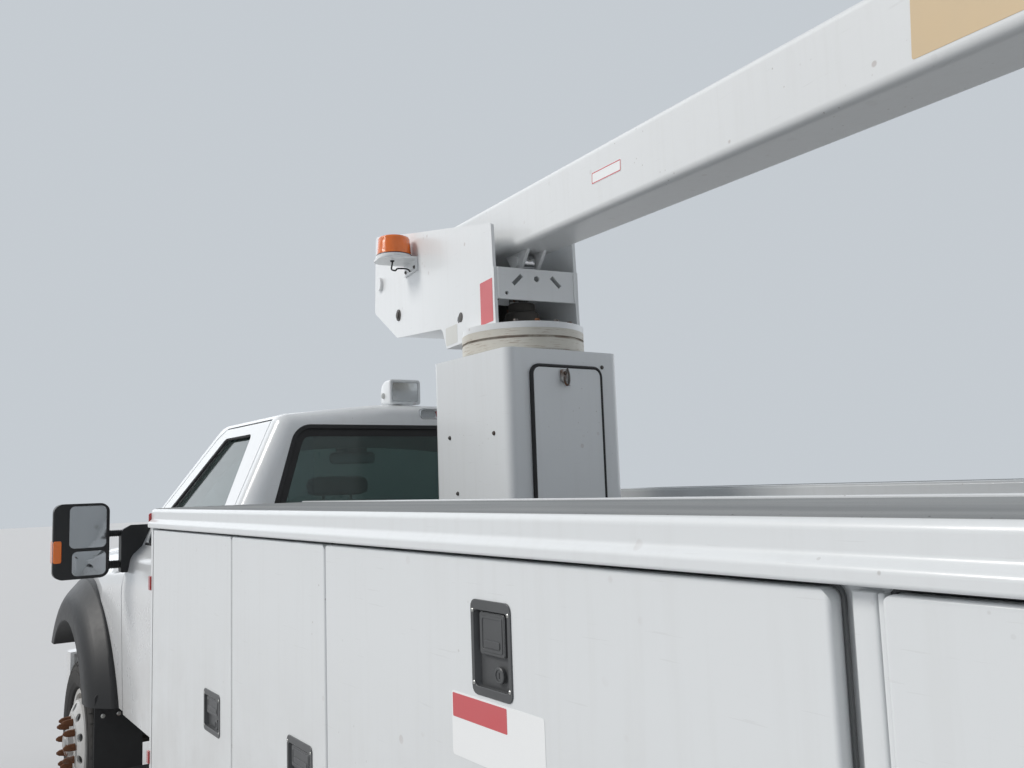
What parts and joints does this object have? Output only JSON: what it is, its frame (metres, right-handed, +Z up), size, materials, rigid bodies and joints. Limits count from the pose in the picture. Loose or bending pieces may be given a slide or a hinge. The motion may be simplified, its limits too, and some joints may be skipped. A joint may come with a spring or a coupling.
{
  "type": "cherry picker truck",
  "caption": "Cherry picker truck: regular cab, side-pack service body, pedestal turret and telescopic boom with a bucket, all doors, wheels and boom jointed.",
  "frame": {"origin": "on the floor at the middle of the vehicle's length and width", "axes": "+X forward, +Y left, +Z up"},
  "size_m": [7.3, 2.63, 2.8909],
  "materials": {
    "white_paint": "gloss white fleet paint, dusty",
    "frame_black": "black chassis paint",
    "engine_iron": "bare cast iron",
    "black_plastic": "grained black plastic",
    "grey_plastic": "moulded grey plastic",
    "exhaust_steel": "heat-stained steel",
    "window_glass": "green-tinted glass",
    "seat_cloth": "grey woven seat cloth",
    "clear_lens": "clear lamp lenses",
    "amber_lens": "amber beacon plastic",
    "ring_steel": "dirty white paint with rust lines",
    "white_fibreglass": "white gelcoat",
    "chrome_rod": "chromed rod",
    "tyre_rubber": "black rubber",
    "white_wheel_steel": "white painted steel with rusty nuts"
  },
  "bodies": {
    "chassis": {"chassis_frame": "frame_black", "springs": "frame_black", "axles": "frame_black", "engine_block": "engine_iron", "driveline": "engine_iron", "fuel_tank": "black_plastic", "exhaust": "exhaust_steel", "side_pack_left": "white_paint", "side_pack_right": "white_paint", "arch_panels": "white_paint", "cargo_floor": "white_paint", "tail_shelf": "white_paint", "boom_rest": "white_paint", "cab_shell": "white_paint", "cab_glass": "window_glass", "seat": "seat_cloth", "dashboard": "grey_plastic", "lamps": "clear_lens", "cab_steps": "black_plastic", "fenders": "white_paint", "fender_flares": "black_plastic", "grille": "black_plastic", "front_bumper": "frame_black", "pedestal": "white_paint", "slewing_ring": "ring_steel"},
    "turret": {"turret": "white_paint", "beacon": "amber_lens"},
    "outer_boom": {"outer_boom": "white_paint"},
    "inner_boom": {"inner_boom": "white_fibreglass"},
    "platform": {"platform_bracket": "white_paint", "bucket": "white_fibreglass"},
    "lift_barrel": {"cylinder_barrel": "white_paint"},
    "lift_rod": {"cylinder_rod": "chrome_rod"},
    "hood": {"hood": "white_paint"},
    "pedestal_door": {"pedestal_door": "white_paint"},
    "knuckle_left": {"knuckle_left": "frame_black"},
    "wheel_front_left": {"tyre_front_left": "tyre_rubber", "wheel_front_left": "white_wheel_steel"},
    "wheel_rear_left": {"tyres_rear_left": "tyre_rubber", "wheel_rear_left": "white_wheel_steel"},
    "cab_door_left": {"cab_door_left": "white_paint", "cab_door_glass_left": "window_glass", "cab_mirror_left": "black_plastic"},
    "pack_door_1_left": {"pack_door_1_left": "white_paint"},
    "pack_door_2_left": {"pack_door_2_left": "white_paint"},
    "pack_door_3_left": {"pack_door_3_left": "white_paint"},
    "pack_door_4_left": {"pack_door_4_left": "white_paint"},
    "knuckle_right": {"knuckle_right": "frame_black"},
    "wheel_front_right": {"tyre_front_right": "tyre_rubber", "wheel_front_right": "white_wheel_steel"},
    "wheel_rear_right": {"tyres_rear_right": "tyre_rubber", "wheel_rear_right": "white_wheel_steel"},
    "cab_door_right": {"cab_door_right": "white_paint", "cab_door_glass_right": "window_glass", "cab_mirror_right": "black_plastic"},
    "pack_door_1_right": {"pack_door_1_right": "white_paint"},
    "pack_door_2_right": {"pack_door_2_right": "white_paint"},
    "pack_door_3_right": {"pack_door_3_right": "white_paint"},
    "pack_door_4_right": {"pack_door_4_right": "white_paint"}
  },
  "joints": [
    {"name": "steer_left", "type": "hinge", "parent": "chassis", "child": "knuckle_left", "pos_m": [2.682, 0.89, 0.405], "axis": [0, 0, 1], "range_deg": [-33, 33]},
    {"name": "roll_front_left", "type": "hinge", "parent": "knuckle_left", "child": "wheel_front_left", "pos_m": [2.682, 0.95, 0.405], "axis": [0, 1, 0], "continuous": true},
    {"name": "roll_rear_left", "type": "hinge", "parent": "chassis", "child": "wheel_rear_left", "pos_m": [-1.504, 0.94, 0.405], "axis": [0, 1, 0], "continuous": true},
    {"name": "cab_door_turn_left", "type": "hinge", "parent": "chassis", "child": "cab_door_left", "pos_m": [1.886, 1.016, 1.2], "axis": [0, 0, -1], "range_deg": [0, 65]},
    {"name": "pack_door_1_turn_left", "type": "hinge", "parent": "chassis", "child": "pack_door_1_left", "pos_m": [0.527, 1.194, 1.1], "axis": [0, 0, -1], "range_deg": [0, 110]},
    {"name": "pack_door_2_turn_left", "type": "hinge", "parent": "chassis", "child": "pack_door_2_left", "pos_m": [-0.282, 1.194, 1.1], "axis": [0, 0, -1], "range_deg": [0, 110]},
    {"name": "pack_door_3_drop_left", "type": "hinge", "parent": "chassis", "child": "pack_door_3_left", "pos_m": [-1.474, 1.194, 0.96], "axis": [-1, 0, 0], "range_deg": [0, 90]},
    {"name": "pack_door_4_turn_left", "type": "hinge", "parent": "chassis", "child": "pack_door_4_left", "pos_m": [-2.77, 1.194, 1.1], "axis": [0, 0, 1], "range_deg": [0, 110]},
    {"name": "steer_right", "type": "hinge", "parent": "chassis", "child": "knuckle_right", "pos_m": [2.682, -0.89, 0.405], "axis": [0, 0, 1], "range_deg": [-33, 33]},
    {"name": "roll_front_right", "type": "hinge", "parent": "knuckle_right", "child": "wheel_front_right", "pos_m": [2.682, -0.95, 0.405], "axis": [0, 1, 0], "continuous": true},
    {"name": "roll_rear_right", "type": "hinge", "parent": "chassis", "child": "wheel_rear_right", "pos_m": [-1.504, -0.94, 0.405], "axis": [0, 1, 0], "continuous": true},
    {"name": "cab_door_turn_right", "type": "hinge", "parent": "chassis", "child": "cab_door_right", "pos_m": [1.886, -1.016, 1.2], "axis": [0, 0, 1], "range_deg": [0, 65]},
    {"name": "pack_door_1_turn_right", "type": "hinge", "parent": "chassis", "child": "pack_door_1_right", "pos_m": [0.527, -1.194, 1.1], "axis": [0, 0, 1], "range_deg": [0, 110]},
    {"name": "pack_door_2_turn_right", "type": "hinge", "parent": "chassis", "child": "pack_door_2_right", "pos_m": [-0.282, -1.194, 1.1], "axis": [0, 0, 1], "range_deg": [0, 110]},
    {"name": "pack_door_3_drop_right", "type": "hinge", "parent": "chassis", "child": "pack_door_3_right", "pos_m": [-1.474, -1.194, 0.96], "axis": [1, 0, 0], "range_deg": [0, 90]},
    {"name": "pack_door_4_turn_right", "type": "hinge", "parent": "chassis", "child": "pack_door_4_right", "pos_m": [-2.77, -1.194, 1.1], "axis": [0, 0, -1], "range_deg": [0, 110]},
    {"name": "hood_lift", "type": "hinge", "parent": "chassis", "child": "hood", "pos_m": [2.302, 0, 1.42], "axis": [0, -1, 0], "range_deg": [0, 50]},
    {"name": "pedestal_door_turn", "type": "hinge", "parent": "chassis", "child": "pedestal_door", "pos_m": [-0.2093, 0, 1.23], "axis": [0, -1, 0], "range_deg": [0, 100]},
    {"name": "turret_turn", "type": "hinge", "parent": "chassis", "child": "turret", "pos_m": [0.048, 0, 2.203], "axis": [0, 0, 1], "range_deg": [-185, 185]},
    {"name": "boom_lift", "type": "hinge", "parent": "turret", "child": "outer_boom", "pos_m": [1.18477, -0.18045, 2.643], "axis": [0.1568, 0.9876, 0], "range_deg": [0, 78]},
    {"name": "boom_extend", "type": "slide", "parent": "outer_boom", "child": "inner_boom", "axis": [-0.9859, 0.1565, -0.0588], "range_m": [0, 3.1]},
    {"name": "platform_level", "type": "hinge", "parent": "inner_boom", "child": "platform", "pos_m": [-3.03726, 0.48976, 2.43034], "axis": [0.1568, 0.9876, 0], "range_deg": [-78.5, 0.5]},
    {"name": "lift_barrel_turn", "type": "hinge", "parent": "turret", "child": "lift_barrel", "pos_m": [0.93588, -0.14094, 2.445], "axis": [0.1568, 0.9876, 0], "range_deg": [-0.5, 82.3]},
    {"name": "lift_rod_slide", "type": "slide", "parent": "lift_barrel", "child": "lift_rod", "axis": [-0.9871, 0.1567, 0.0316], "range_m": [-0.005, 0.4031]}
  ],
  "couplings": [
    {"joint": "steer_right", "follows": "steer_left", "ratio": 1},
    {"joint": "platform_level", "follows": "boom_lift", "ratio": -1},
    {"joint": "lift_barrel_turn", "follows": "boom_lift", "ratio": 1.0421},
    {"joint": "lift_rod_slide", "follows": "boom_lift", "m_per_rad": 0.29245}
  ]
}
